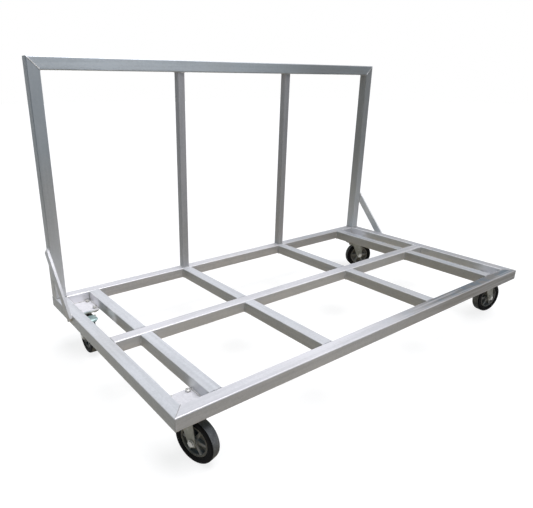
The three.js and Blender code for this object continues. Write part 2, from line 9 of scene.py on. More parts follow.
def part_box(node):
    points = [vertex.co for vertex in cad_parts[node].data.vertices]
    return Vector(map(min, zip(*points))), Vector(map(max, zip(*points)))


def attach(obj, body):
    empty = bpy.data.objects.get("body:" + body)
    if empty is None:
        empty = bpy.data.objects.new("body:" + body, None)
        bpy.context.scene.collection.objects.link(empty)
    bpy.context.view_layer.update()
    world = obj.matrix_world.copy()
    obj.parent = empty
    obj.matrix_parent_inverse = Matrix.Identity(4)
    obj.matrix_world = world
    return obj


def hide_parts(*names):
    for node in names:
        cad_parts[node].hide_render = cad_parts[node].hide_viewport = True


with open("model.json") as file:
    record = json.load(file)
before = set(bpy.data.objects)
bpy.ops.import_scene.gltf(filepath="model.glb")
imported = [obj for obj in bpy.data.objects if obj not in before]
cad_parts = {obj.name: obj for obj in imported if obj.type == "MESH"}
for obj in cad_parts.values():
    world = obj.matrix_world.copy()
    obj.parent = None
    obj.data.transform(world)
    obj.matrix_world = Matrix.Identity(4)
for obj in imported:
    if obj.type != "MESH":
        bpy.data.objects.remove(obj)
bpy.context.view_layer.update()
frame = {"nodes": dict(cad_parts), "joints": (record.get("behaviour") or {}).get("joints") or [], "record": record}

# Sheet goods cart: welded galvanised tube, flat-bar braces and four plated casters
# Lengths are in metres, in the frame of the solids

scene = bpy.context.scene
X, Y, Z = 0, 1, 2
BOTH = (-1, 1)
MM = 0.001
QUARTER_TURN = math.pi / 2

# Camera, fitted to the photograph's own perspective, with its lens and sensor in mm
CAMERA_PLACE = (-1.6025, -1.5600, 1.1480)
CAMERA_AZIMUTH = math.radians(35.859)
CAMERA_DIP = math.radians(20.158)
CAMERA_LENS = 33.066
CAMERA_SENSOR = 36
CAMERA_SHIFT = (0.0875, 0.0184)

# Frame tubes and welds
TUBE_WALL = 2.5 * MM
TUBE_RADIUS = 4.5 * MM
UPRIGHT_WALL = 2 * MM
UPRIGHT_RADIUS = 3 * MM
CORNER_STEPS = 5
FLAT_HOLD = 0.4 * MM
BEAD_RADIUS = 3.6 * MM
BRACE_BEAD = 2.1 * MM
BEAD_PITCH = 3.2 * MM
BEAD_RIPPLE = 0.14
BEAD_STEPS = 4
BEAD_SIDES = 10
BEAD_PHASE = 1.1
BEAD_THIN = 0.45
BEAD_TAPER = 6
SEAM_RADIUS = 1.5 * MM
BACK_SEAM_RADIUS = 2.3 * MM
SEAM_SINK = 0.9 * MM
SEAM_SHORT = 0.06
BRACE_EDGE = 1.2 * MM
BRACE_WELD_SHARE = 0.36
EDGE_STEPS = 2

# Casters
TYRE_HALF = 20 * MM
TYRE_SEAT = 56.3 * MM
TYRE_SHOULDER = 7 * MM
SHOULDER_STEPS = 7
TREAD_CROWN = 0.1 * MM
TREAD_FLAT_HALF = 4 * MM
TREAD_LAP = 4
# Tyre wall in mm, from its seat outwards: a low ring past the rim's face, then a bulge short of full width
WALL_RING = ((0, 0), (1.6, 1.6), (3.4, 1.8), (4.2, 1.2))
WALL_BULGE = ((6.5, 0.9), (10, 0.2))
RIM_HALF = 17 * MM
RIM_RADIUS = 56 * MM
RIM_INNER = 48 * MM
RIM_EDGE = 1.5 * MM
WEB_HALF = 3 * MM
WEB_FILLET = 4 * MM
FILLET_STEPS = 4
HUB_BOSS = 17 * MM
HUB_BOSS_HALF = 24.7 * MM
HUB_BORE = 6.3 * MM
SPOKE_COUNT = 6
SPOKE_ROOT = 13 * MM
SPOKE_TIP = 9 * MM
SPOKE_HALF = 14.5 * MM
SPOKE_EDGE = 2 * MM
SPOKE_SINK = 2 * MM
SPOKE_STEPS = 3
WHEEL_SIDES = 96
RING_SIDES = 64

FORK_THICKNESS = 4 * MM
FORK_INNER = 25 * MM
FORK_BEND = 9 * MM
FORK_EDGE = 0.8 * MM
BEND_STEPS = 6
CROWN_FRONT = 34 * MM
CROWN_REAR = 50 * MM
CROWN_SHOULDER = 12 * MM
LEG_SETBACK = 33 * MM
LEG_DROP = 16 * MM
LEG_STEP = 3 * MM
LEG_END_TRIM = 0.05 * MM
LEG_END_STEPS = 10
CROWN_TOP = 173 * MM
AXLE_END = 17 * MM
FORK_OUTER = FORK_INNER + FORK_THICKNESS

PLATE_BOTTOM = 189.7 * MM
PLATE_TOP = 194.7 * MM
PLATE_HALF = (50.5 * MM, 57 * MM)
PLATE_RADIUS = 10 * MM
PLATE_EDGE = 1 * MM
CORNER_PLATE_TOP = 201.3 * MM
BOLT_PITCH = (71 * MM, 84 * MM)
BOLT_RADIUS = 5 * MM
BOLT_HEX = 17 * MM
BOLT_HEAD = 6.4 * MM
BOLT_NUT = 8 * MM
BOLT_END = 2 * MM
THREAD_PITCH = 1.5 * MM
THREAD_DEPTH = 0.8 * MM
HEX_CHAMFER = 1.2 * MM
BOLT_SIDES = 16
HEX_SIDES = 6

RACE_INNER = 18.8 * MM
RACE_RADIUS = 37.1 * MM
RACE_ROUND = 5 * MM
RACE_GROOVE = 1.2 * MM
RACE_BOTTOM = 173.3 * MM
RACE_TOP = 189.2 * MM
BOSS_RADIUS = 18.2 * MM
BOSS_BOTTOM = 173.5 * MM
BOSS_BORE = 6.3 * MM

AXLE_RADIUS = 6 * MM
AXLE_HEX = 19 * MM
AXLE_HEAD = 7.5 * MM
AXLE_NUT = 10 * MM
NUT_HEX_SHARE = 0.72
AXLE_TAIL = 4 * MM
WASHER_RADIUS = 12.5 * MM
WASHER_THICKNESS = 1.6 * MM
SEAT_GAP = 0.3 * MM

PEDAL_LENGTH = 62 * MM
PEDAL_HALF = 25 * MM
PEDAL_NECK = 24.2 * MM
PEDAL_NECK_LENGTH = 8.5 * MM
PEDAL_FLARE = 5 * MM
PEDAL_THICKNESS = 3 * MM
PEDAL_SLOPE = math.radians(8)
PEDAL_LIP = 9 * MM
PEDAL_CORNER = 14 * MM
PEDAL_FLANGE = 5 * MM
PEDAL_SEAT = 3.8 * MM
FLARE_STEPS = 4
LIP_STEPS = 8
# Stations along the pedal as shares of its length, and heights in its section as shares of its thickness
NECK_SHARES = (0.0, 0.06, 0.11)
BODY_SHARES = (0.3, 0.5, 0.7)
LIP_DROP_SHARE = 0.6
ROUND_EDGE_SHARE = 0.85
BARREL_RADIUS = 6.8 * MM
BARREL_BORE = 3.8 * MM
BARREL_HALF = 24.5 * MM
EAR_RADIUS = 7 * MM
EAR_START = -0.45 * math.pi
EAR_SWEEP = 0.95 * math.pi
EAR_STEPS = 12
EAR_INSET = 0.04 * MM

# Places of the finishes on a piece that carries more than one
WELD, SEAM, SEAM_HIGHLIGHT = 0, 1, 2
SECOND_FINISH = 1

# Where the painted shade of the tubes' right end starts and is full, along X; it is coloured like blue and brown
# tarnish
DULL_REACH = (0.05, 0.65)
FRONT_DULL_REACH = (-0.3, 0.65)

# Casts of the zinc on the tubes; the bluish cast of the top rail is painted cool sky light
PLAIN = (1, 1, 1)
COOL = (1, 1.028, 1.03)
FAINTLY_GREEN = (0.98, 1.01, 0.985)
# Painted cool sky light on the top rail
SKY_BLUE_CAST = (0.955, 1.045, 1.075)

# Heights over which the painted light on the posts and uprights, reflected from the deck, fades from pale to plain
FOOT_REACH = (0.22, 0.85)

# Heights over which the near post turns from plain to bluish: painted cool sky light
SKY_CAST_REACH = (0.7, 0.95)

# Painted reflection of the bright caster plates on the tubes round them, as lighter, more metallic zinc: full at
# the first distance from a plate's middle, gone at the second
PLATE_REFLECTION_REACH = (0.075, 0.105)

# The painted reflection is thin at the front plates and full at the back ones, along Y
PLATE_REFLECTION_DEPTH = (-0.3, 0.3)

# A painted glint, a spot of reflection on the side of the left inner cross member, full at the first distance and
# gone at the second
GLINT_MIDDLE = (-0.87, 0.24, 0.217)
GLINT_REACH = (0.02, 0.062)

JOINTS = {joint["name"]: joint for joint in frame["joints"]}
SWIVEL_PLACE = JOINTS["front_left_swivel_turn"]["pos_m"]
PLATE_MIDDLE = (abs(SWIVEL_PLACE[X]), abs(SWIVEL_PLACE[Y]), CORNER_PLATE_TOP)


# Node trees

class Wire:
    """An output socket of a node tree. Arithmetic on it adds Math nodes."""

    def __init__(self, tree, socket=None):
        self.tree = tree
        self.socket = socket

    def node(self, kind, settings=None, inputs=None, out=0):
        """A new node: its settings first, then the values or wires of its inputs. Gives one output."""
        made = self.tree.nodes.new(kind)
        for key, value in (settings or {}).items():
            setattr(made, key, value)
        for key, value in (inputs or {}).items():
            if isinstance(value, Wire):
                self.tree.links.new(value.socket, made.inputs[key])
            else:
                made.inputs[key].default_value = value
        return Wire(self.tree, made.outputs[out]) if len(made.outputs) else None

    def math(self, operation, *values):
        return self.node("ShaderNodeMath", {"operation": operation}, dict(enumerate(values)))

    def __add__(self, other):
        return self.math("ADD", self, other)

    def __radd__(self, other):
        return self.math("ADD", other, self)

    def __sub__(self, other):
        return self.math("SUBTRACT", self, other)

    def __rsub__(self, other):
        return self.math("SUBTRACT", other, self)

    def __mul__(self, other):
        return self.math("MULTIPLY", self, other)

    def __rmul__(self, other):
        return self.math("MULTIPLY", other, self)

    def largest(self, *others):
        most = self
        for other in others:
            most = self.math("MAXIMUM", most, other)
        return most

    def clamp(self):
        return self.node("ShaderNodeClamp", inputs={"Value": self})

    def steps(self, low, high):
        """Runs from 0 at low to 1 at high."""
        inputs = {"Value": self, "From Min": low, "From Max": high}
        return self.node("ShaderNodeMapRange", {"interpolation_type": "SMOOTHSTEP"}, inputs)

    def blend(self, first, second):
        """A colour between two, by this value."""
        inputs = {"Factor": self.clamp(), 6: first, 7: second}
        return self.node("ShaderNodeMix", {"data_type": "RGBA"}, inputs, out=2)


def rgb(red, green, blue):
    return (red, green, blue, 1)


def tinted(tint, red, green, blue):
    return rgb(tint[0] * red, tint[1] * green, tint[2] * blue)


def distance(place, point):
    return place.node("ShaderNodeVectorMath", {"operation": "DISTANCE"}, {0: place, 1: point}, out="Value")


class Finish:
    """A material made of one Principled shader, and the wires that its textures start from."""

    def __init__(self, name, constants):
        self.material = bpy.data.materials.new(name)
        self.material.use_nodes = True
        self.tree = self.material.node_tree
        self.shader = self.tree.nodes["Principled BSDF"]
        for key, value in constants.items():
            self.shader.inputs[key].default_value = value
        self.root = Wire(self.tree)
        self.place = self.root.node("ShaderNodeTexCoord", out="Object")

    def noise(self, scale, detail=3, roughness=0.55, stretch=None):
        place = self.place
        if stretch:
            place = self.root.node("ShaderNodeMapping", inputs={"Vector": place, "Scale": stretch})
        inputs = {"Vector": place, "Scale": scale, "Detail": detail, "Roughness": roughness}
        return self.root.node("ShaderNodeTexNoise", inputs=inputs)

    def cells(self, scale, out="Distance"):
        return self.root.node("ShaderNodeTexVoronoi", inputs={"Vector": self.place, "Scale": scale}, out=out)

    def cell_tone(self, scale):
        colour = self.cells(scale, out="Color")
        return self.root.node("ShaderNodeSeparateColor", inputs={"Color": colour})

    def along(self, axis):
        return self.root.node("ShaderNodeSeparateXYZ", inputs={0: self.place}, out=axis)

    def facing_up(self):
        """1 where the surface looks straight up, 0 on its sides."""
        normal = self.root.node("ShaderNodeNewGeometry", out="Normal")
        return self.root.node("ShaderNodeSeparateXYZ", inputs={0: normal}, out="Z")

    def from_plates(self):
        """Distance from the middle of the nearest caster plate."""
        mirrored = self.root.node("ShaderNodeVectorMath", {"operation": "ABSOLUTE"}, {0: self.place})
        return distance(mirrored, PLATE_MIDDLE)

    def feed(self, **wires):
        for key, wire in wires.items():
            self.tree.links.new(wire.socket, self.shader.inputs[key.replace("_", " ")])

    def bump(self, height, strength, depth):
        inputs = {"Height": height, "Strength": strength, "Distance": depth}
        self.feed(Normal=self.root.node("ShaderNodeBump", inputs=inputs))


class Zinc(Finish):
    """Galvanised tube, with what its looks start from: clouds, streaks, crystals and the way it faces."""

    def __init__(self, name, grain, reach):
        super().__init__(name, {"Specular IOR Level": 0.2})
        self.clouds = self.noise(3.4, detail=3, roughness=0.5)
        self.streaks = self.noise(80, detail=2, roughness=0.5, stretch=grain)
        self.spangle = self.cell_tone(150)
        self.rise = self.facing_up()
        self.slanted = 1 - self.rise.steps(0.9, 0.985)
        self.far = self.along("X").steps(*reach)

    def grey(self, tint):
        """Zinc grey in one cast, streaked along the tube."""
        tone = (0.37 * self.clouds + 0.52 * self.streaks + 0.11 * self.spangle).steps(0.32, 0.66)
        return tone.blend(tinted(tint, 0.575, 0.575, 0.595), tinted(tint, 0.70, 0.695, 0.72))

    def stained_and_end_shaded(self, colour, on_top, on_sides):
        """Brown stains all over, heavier towards the right end, and painted shade of that end, coloured blue and
        brown.
        """
        dull = self.far * (0.6 + 0.4 * self.streaks.steps(0.36, 0.6))
        stains = self.noise(2.6, detail=4, roughness=0.6).steps(0.5, 0.74)
        colour = ((0.2 + 0.4 * dull) * stains).blend(colour, rgb(0.50, 0.47, 0.435))
        patches = self.noise(13, detail=4, roughness=0.6).steps(0.42, 0.6)
        # Painted shade of the right end: dark blue on tops, brown on sides
        top = patches.blend(rgb(0.08, 0.108, 0.135), rgb(0.135, 0.133, 0.13))
        end_shade = self.slanted.blend(top, rgb(0.27, 0.25, 0.23))
        amount = on_top + (on_sides - on_top) * self.slanted
        return (amount * dull).blend(colour, end_shade)

    def painted_sky_cast(self, colour, share):
        # Painted cool sky light on the head of the post
        head = self.along("Z").steps(*SKY_CAST_REACH) * (1 - self.far)
        return (share * head).blend(colour, rgb(0.42, 0.50, 0.57))

    def painted_reflections(self, colour, foot_share, side_share):
        """Painted light reflected from the deck and floor: paler towards the foot of an upright tube, or on the
        sides of a level one.
        """
        foot = 1 - self.along("Z").steps(*FOOT_REACH)
        # Painted reflected light, as paler zinc
        pale = foot_share * foot + side_share * self.slanted
        return pale.blend(colour, rgb(0.86, 0.86, 0.87))

    def bright(self):
        """Painted highlights and reflections: round the caster plates, on upper edges and as one glint on a side.
        """
        # Painted reflection of the plates: lighter zinc on the tube sides near them
        past_plates = (self.from_plates() + 0.02 * self.clouds).steps(*PLATE_REFLECTION_REACH)
        plate_reflection = (0.9 - 0.9 * past_plates) * (0.2 + 0.8 * self.slanted) * (1 - 0.45 * self.far)
        plate_reflection = plate_reflection * (0.45 + 0.55 * self.along("Y").steps(*PLATE_REFLECTION_DEPTH))
        # Painted highlight along the upper rounded edges of the tubes
        edge = self.rise.steps(0.25, 0.55) * self.slanted * (1 - 0.8 * self.far)
        # Painted glint: a spot of reflection on the side of the left inner cross member
        painted_glint = (1 - distance(self.place, GLINT_MIDDLE).steps(*GLINT_REACH)) * self.slanted
        return plate_reflection.largest(0.4 * edge, 0.9 * painted_glint)


def galvanised_finish(
    name, grain, shade, end_shade, tint=PLAIN, reach=DULL_REACH, sky_cast=0, painted_foot_light=0, painted_side_light=0
):
    """Galvanised tube: streaked along its grain, with painted shade towards one end and painted highlights and
    reflections in places.
    """
    zinc = Zinc(name, grain, reach)
    colour = zinc.grey([shade * share for share in tint])
    colour = zinc.stained_and_end_shaded(colour, *end_shade)
    if sky_cast:
        colour = zinc.painted_sky_cast(colour, sky_cast)
    if painted_foot_light or painted_side_light:
        colour = zinc.painted_reflections(colour, painted_foot_light, painted_side_light)
    # Painted highlights and reflections: the zinc turns near-white there, and more metallic on the sides
    bright = zinc.bright()
    colour = bright.blend(colour, rgb(0.84, 0.84, 0.87))
    rough = 0.24 + 0.14 * zinc.clouds + 0.16 * zinc.streaks
    zinc.feed(Base_Color=colour, Roughness=rough, Metallic=0.05 + 0.85 * bright * zinc.slanted)
    zinc.bump(0.3 * zinc.clouds + 0.3 * zinc.streaks + 0.2 * zinc.spangle, 0.08, 0.5 * MM)
    return zinc.material


def bar_finish():
    """Bright zinc-plated flat bar of the braces, lightly clouded, and paler on the far brace as painted light."""
    finish = Finish("bright_bar", {"Metallic": 0.08, "Specular IOR Level": 0.2})
    clouds = finish.noise(14, detail=4)
    scratches = finish.noise(260, detail=3)
    colour = clouds.steps(0.3, 0.7).blend(rgb(0.59, 0.595, 0.61), rgb(0.71, 0.715, 0.73))
    # Painted light: paler towards the right brace
    rightward_light = finish.along("X").steps(-1, 1)
    colour = (0.9 * rightward_light).blend(colour, rgb(0.94, 0.94, 0.94))
    finish.feed(Base_Color=colour, Roughness=0.3 + 0.15 * scratches)
    finish.bump(scratches, 0.08, 0.3 * MM)
    return finish.material


def weld_finish(name, shade):
    """Weld metal under zinc: rough, with darker heat tint in patches."""
    finish = Finish(name, {"Metallic": 0.3})
    grain = finish.noise(160, detail=4)
    patches = finish.noise(28, detail=3).steps(0.4, 0.68)
    tint = (shade, shade, shade)
    colour = patches.blend(tinted(tint, 0.44, 0.435, 0.43), tinted(tint, 0.72, 0.715, 0.715))
    finish.feed(Base_Color=colour, Roughness=0.45 + 0.25 * grain)
    finish.bump(grain, 0.35, 0.4 * MM)
    return finish.material


def zinc_plate_finish():
    """Pressed and zinc-plated steel: olive grey, cloudy, rubbed brighter in patches."""
    finish = Finish("zinc_plate", {"Metallic": 0.45})
    clouds = finish.noise(26, detail=5, roughness=0.6)
    grain = finish.noise(420, detail=2)
    rub = finish.noise(60, detail=4).steps(0.55, 0.75)
    colour = clouds.steps(0.3, 0.7).blend(rgb(0.16, 0.16, 0.135), rgb(0.27, 0.27, 0.235))
    colour = (0.45 * rub).blend(colour, rgb(0.47, 0.47, 0.45))
    finish.feed(Base_Color=colour, Roughness=0.36 + 0.22 * clouds)
    finish.bump(0.5 * clouds + 0.3 * grain, 0.12, 0.4 * MM)
    return finish.material


def bright_steel_finish():
    """Bright zinc fasteners: pale, slightly yellow in places, finely scratched."""
    finish = Finish("bright_steel", {"Metallic": 0.55})
    clouds = finish.noise(75, detail=4)
    scratches = finish.noise(300, detail=3, stretch=(1, 5, 1))
    colour = clouds.steps(0.35, 0.7).blend(rgb(0.46, 0.455, 0.42), rgb(0.60, 0.60, 0.59))
    finish.feed(Base_Color=colour, Roughness=0.26 + 0.22 * scratches)
    finish.bump(scratches, 0.1, 0.3 * MM)
    return finish.material


def blue_zinc_finish():
    """Blue passivated zinc of the brake pedal, scuffed pale where shoes rub it."""
    finish = Finish("blue_zinc", {"Metallic": 0.4})
    clouds = finish.noise(30, detail=5)
    scuffs = finish.noise(85, detail=6, roughness=0.7, stretch=(1, 3, 1)).steps(0.5, 0.7)
    colour = clouds.steps(0.3, 0.7).blend(rgb(0.20, 0.30, 0.30), rgb(0.36, 0.49, 0.48))
    colour = (0.6 * scuffs).blend(colour, rgb(0.58, 0.66, 0.65))
    finish.feed(Base_Color=colour, Roughness=0.3 + 0.25 * clouds)
    finish.bump(scuffs, 0.15, 0.3 * MM)
    return finish.material


def hub_finish():
    """Moulded grey nylon of the spokes and boss: fine pitting and a film of floor dust."""
    finish = Finish("hub_grey", {"Metallic": 0.0})
    pits = finish.noise(520, detail=2)
    dust = finish.noise(34, detail=5, roughness=0.65).steps(0.42, 0.75)
    colour = (0.5 * dust).blend(rgb(0.28, 0.289, 0.30), rgb(0.53, 0.54, 0.55))
    finish.feed(Base_Color=colour, Roughness=0.46 + 0.2 * dust + 0.1 * pits)
    finish.bump(pits, 0.18, 0.25 * MM)
    return finish.material


def pocket_shade_finish():
    """The same nylon between the spokes and on the rim, darker as painted shade of these recesses, and mottled."""
    finish = Finish("hub_pocket", {"Metallic": 0.0, "Specular IOR Level": 0.2})
    pocket_mottle = finish.noise(48, detail=5, roughness=0.65)
    pits = finish.noise(520, detail=2)
    colour = pocket_mottle.steps(0.35, 0.7).blend(rgb(0.165, 0.166, 0.168), rgb(0.33, 0.331, 0.333))
    finish.feed(Base_Color=colour, Roughness=0.6 + 0.25 * pocket_mottle)
    finish.bump(pits, 0.18, 0.25 * MM)
    return finish.material


def tyre_finish():
    """Black rubber of the tyre walls: fine grain, with a thin film of dust in patches."""
    finish = Finish("tyre", {"Metallic": 0.0, "Specular IOR Level": 0.06})
    grain = finish.noise(640, detail=2)
    film = finish.noise(21, detail=6, roughness=0.7).steps(0.4, 0.8)
    colour = (0.4 * film).blend(rgb(0.006, 0.006, 0.0065), rgb(0.03, 0.029, 0.028))
    finish.feed(Base_Color=colour, Roughness=0.62 + 0.2 * film + 0.08 * grain)
    finish.bump(grain, 0.22, 0.3 * MM)
    return finish.material


def tread_finish():
    """Rubber where it runs on the floor: worn grey, lightened further as painted light from above, with specks of
    grit.
    """
    finish = Finish("tread", {"Metallic": 0.0, "Specular IOR Level": 0.2})
    grit = finish.cells(420).steps(0.1, 0.5)
    wear_and_light = finish.noise(26, detail=6, roughness=0.7).steps(0.3, 0.75)
    # Worn grey rubber, made lighter still as painted light caught from above
    colour = wear_and_light.blend(rgb(0.10, 0.107, 0.117), rgb(0.25, 0.262, 0.275))
    colour = (0.5 - 0.5 * grit).blend(colour, rgb(0.03, 0.03, 0.03))
    finish.feed(Base_Color=colour, Roughness=0.7 + 0.2 * wear_and_light)
    finish.bump(grit, 0.25, 0.3 * MM)
    return finish.material


# The streaks are drawn out along a tube
GRAIN_RUN = 0.03
NO_GRAIN = (1, 1, 1)
GRAIN_X = (GRAIN_RUN, 1, 1)
GRAIN_Y = (1, GRAIN_RUN, 1)
GRAIN_Z = (1, 1, GRAIN_RUN)

# Zinc by the way a tube runs, then of tubes with looks of their own; the painted shade of the right end is given
# on tops and on sides
TUBE_LOOKS = {
    "galvanised": dict(grain=NO_GRAIN, shade=1.05, end_shade=(0.26, 0.17)),
    "galvanised_x": dict(grain=GRAIN_X, shade=1.03, end_shade=(0.55, 0.38)),
    "galvanised_y": dict(grain=GRAIN_Y, shade=0.925, end_shade=(0.58, 0.18), tint=COOL),
    "galvanised_z": dict(grain=GRAIN_Z, shade=0.79, end_shade=(0.37, 0.23), painted_foot_light=0.15),
    "galvanised_post": dict(
        grain=GRAIN_Z, shade=0.77, end_shade=(0.37, 0.23), tint=FAINTLY_GREEN, painted_foot_light=0.85, sky_cast=0.42
    ),
    "galvanised_front": dict(grain=GRAIN_X, shade=1.08, end_shade=(1.25, 0.9), reach=FRONT_DULL_REACH),
    "galvanised_top": dict(grain=GRAIN_X, shade=1.0, end_shade=(0.55, 0.5), tint=SKY_BLUE_CAST),
    "galvanised_centre": dict(grain=GRAIN_X, shade=1.0, end_shade=(0.55, 0.2), painted_side_light=0.4),
    "galvanised_end": dict(grain=GRAIN_Y, shade=0.93, end_shade=(0.58, 0.18), painted_side_light=0.85),
}
FINISHES = {name: galvanised_finish(name, **looks) for name, looks in TUBE_LOOKS.items()}
FINISHES |= {
    "bright_bar": bar_finish(),
    "weld": weld_finish("weld", 1.0),
    "seam": weld_finish("seam", 0.6),
    # A lighter copy of the weld finish: a painted highlight on the back frame's mitre seams
    "bright_seam": weld_finish("bright_seam", 1.38),
    "zinc_plate": zinc_plate_finish(),
    "bright_steel": bright_steel_finish(),
    "blue_zinc": blue_zinc_finish(),
    "hub_grey": hub_finish(),
    "hub_pocket": pocket_shade_finish(),
    "tyre": tyre_finish(),
    "tread": tread_finish(),
}
SLOT_OF_FINISH = {name: "galvanised" for name in TUBE_LOOKS}
SLOT_OF_FINISH |= {
    "bright_bar": "galvanised",
    "weld": "galvanised",
    "weld+seam": "galvanised",
    "weld+seam+bright_seam": "galvanised",
    "zinc_plate+bright_steel": "zinc_plate",
    "hub_grey+hub_pocket": "hub_grey",
    "tyre+tread": "tyre",
}


# Mesh building

def skin(bm, rings, closed=False):
    """Faces between rings of points; the ends are capped, or the last ring is joined to the first."""
    made = [[bm.verts.new(point) for point in ring] for ring in rings]
    pairs = list(zip(made, made[1:]))
    if closed:
        pairs.append((made[-1], made[0]))
    for near, far in pairs:
        count = len(near)
        for i in range(count):
            j = (i + 1) % count
            bm.faces.new((near[i], near[j], far[j], far[i]))
    if not closed:
        bm.faces.new(made[0])
        bm.faces.new(made[-1])


def circle(radius, height, sides):
    """A ring about Z."""
    turns = [2 * math.pi * i / sides for i in range(sides)]
    return [Vector((radius * math.cos(a), radius * math.sin(a), height)) for a in turns]


def turn(bm, profile, sides, hollow=False):
    """A turned body about Z from (radius, height) points."""
    skin(bm, [circle(radius, height, sides) for radius, height in profile], closed=hollow)


def arc(centre, radius, start, sweep, steps):
    """Points of an arc, as pairs."""
    angles = [start + sweep * i / steps for i in range(steps + 1)]
    return [(centre[0] + radius * math.cos(a), centre[1] + radius * math.sin(a)) for a in angles]


def rounded_rectangle(half_x, half_y, radius, steps=CORNER_STEPS):
    """Outline points of a rectangle with round corners; a point beside each corner keeps the flats flat."""
    points = []
    for i, (sx, sy) in enumerate(((1, 1), (-1, 1), (-1, -1), (1, -1))):
        centre = Vector((sx * (half_x - radius), sy * (half_y - radius)))
        start = i * QUARTER_TURN
        out = Vector((math.cos(start), math.sin(start)))
        onward = Vector((-out.y, out.x))
        before = centre + out * radius - onward * FLAT_HOLD
        after = centre + onward * radius - out * FLAT_HOLD
        points += [tuple(before)] + arc(centre, radius, start, QUARTER_TURN, steps) + [tuple(after)]
    return points


def eased(t):
    """A smooth rise from 0 to 1."""
    return t * t * (3 - 2 * t)


def hexagon(across_flats, height, inset=0.0):
    radius = across_flats / math.sqrt(3) - inset
    return circle(radius, height, HEX_SIDES)


def moved(bm, matrix):
    bmesh.ops.transform(bm, matrix=matrix, verts=bm.verts)
    return bm


def joined(*parts):
    """One bmesh that holds several."""
    whole = bmesh.new()
    for part in parts:
        mesh = bpy.data.meshes.new("part")
        part.to_mesh(mesh)
        whole.from_mesh(mesh)
        bpy.data.meshes.remove(mesh)
        part.free()
    return whole


def ring_form(inner, outer, low, high):
    """A plain ring about Z."""
    bm = bmesh.new()
    turn(bm, [(inner, low), (outer, low), (outer, high), (inner, high)], RING_SIDES, hollow=True)
    return bm


SHARP_ANGLE = math.radians(34)


def add_piece(name, bm, body, finish, replaced=None):
    """Puts a mesh in the scene on its body, with its finish, in place of a CAD node if one is named."""
    bmesh.ops.recalc_face_normals(bm, faces=bm.faces)
    mesh = bpy.data.meshes.new(name)
    bm.to_mesh(mesh)
    bm.free()
    mesh.polygons.foreach_set("use_smooth", [True] * len(mesh.polygons))
    mesh.set_sharp_from_angle(angle=SHARP_ANGLE)
    for part in finish.split("+"):
        mesh.materials.append(FINISHES[part])
    piece = bpy.data.objects.new(name, mesh)
    scene.collection.objects.link(piece)
    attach(piece, body)
    if replaced:
        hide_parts(replaced)


def turned_ring_faces(bm, first, last, sides):
    """Faces of a turned body between two of its rings."""
    bm.faces.ensure_lookup_table()
    return bm.faces[first * sides:last * sides]


# Frame tubes

# Mitred tubes: the axis across the cut, the side that is longer, and the ends that are cut
MITRES = {
    "front_rail": (Y, -1, BOTH),
    "back_rail": (Y, 1, BOTH),
    "left_end_rail": (X, -1, BOTH),
    "right_end_rail": (X, 1, BOTH),
    "top_rail": (Z, 1, BOTH),
    "left_post": (X, -1, (1,)),
    "right_post": (X, 1, (1,)),
}
CROSSES = [
    f"{side}_{place}_cross_{half}"
    for side in ("left", "right")
    for place in ("inner", "middle")
    for half in ("front", "rear")
]
UPRIGHTS = ("left_upright", "right_upright")
# Tubes with a finish of their own
OWN_FINISH = {
    "front_rail": "front",
    "centre_rail": "centre",
    "top_rail": "top",
    "right_end_rail": "end",
    "left_post": "post",
    "right_post": "post",
}
CORNERS = ("front_left", "front_right", "back_left", "back_right")


class Tube:
    """Where a straight square tube of the frame lies, from its CAD box."""

    def __init__(self, node):
        self.low, self.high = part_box(node)
        size = self.high - self.low
        self.along = max((X, Y, Z), key=lambda axis: size[axis])
        self.first, self.second = [axis for axis in (X, Y, Z) if axis != self.along]
        self.side = size[self.first]
        self.middle = (self.low + self.high) / 2
        self.across, self.slope, self.cut_ends = MITRES.get(node, (self.first, 0, ()))

    def tip(self, end):
        return self.high[self.along] if end > 0 else self.low[self.along]

    def ring(self, half, radius, end):
        """The outline of the section at one end, slanted where the end is mitred."""
        points = []
        for u, v in rounded_rectangle(half, half, radius):
            point = self.middle.copy()
            point[self.first] += u
            point[self.second] += v
            point[self.along] = self.tip(end)
            if end in self.cut_ends:
                slant = self.slope * (point[self.across] - self.middle[self.across])
                point[self.along] += end * (slant - self.side / 2)
            points.append(point)
        return points


def build_tube(node, wall, radius):
    tube = Tube(node)
    half = tube.side / 2
    bore = half - wall
    inner = max(radius - wall, wall / 2)
    bm = bmesh.new()
    rings = [tube.ring(half, radius, end) for end in BOTH]
    rings += [tube.ring(bore, inner, end) for end in reversed(BOTH)]
    skin(bm, rings, closed=True)
    finish = OWN_FINISH.get(node, "xyz"[tube.along])
    add_piece(f"{node}_tube", bm, "frame", f"galvanised_{finish}", node)


def build_frame_tubes():
    for node in list(MITRES) + CROSSES + ["centre_rail"]:
        build_tube(node, TUBE_WALL, TUBE_RADIUS)
    for node in UPRIGHTS:
        build_tube(node, UPRIGHT_WALL, UPRIGHT_RADIUS)


# Weld beads

def bead(bm, start, end, radius=BEAD_RADIUS, finish=WELD):
    """A rippled bead between two points, thinner at both ends."""
    first = len(bm.faces)
    run = end - start
    turn_to = run.to_track_quat("Z", "Y").to_matrix()
    count = max(2, round(run.length / BEAD_PITCH)) * BEAD_STEPS
    rings = []
    for i in range(count + 1):
        t = i / count
        ripple = 1 + BEAD_RIPPLE * math.sin(2 * math.pi * i / BEAD_STEPS + BEAD_PHASE)
        fade = min(1, BEAD_THIN + BEAD_TAPER * min(t, 1 - t))
        ring = circle(radius * ripple * fade, 0, BEAD_SIDES)
        rings.append([start + run * t + turn_to @ point for point in ring])
    skin(bm, rings)
    bm.faces.ensure_lookup_table()
    for face in bm.faces[first:]:
        face.material_index = finish


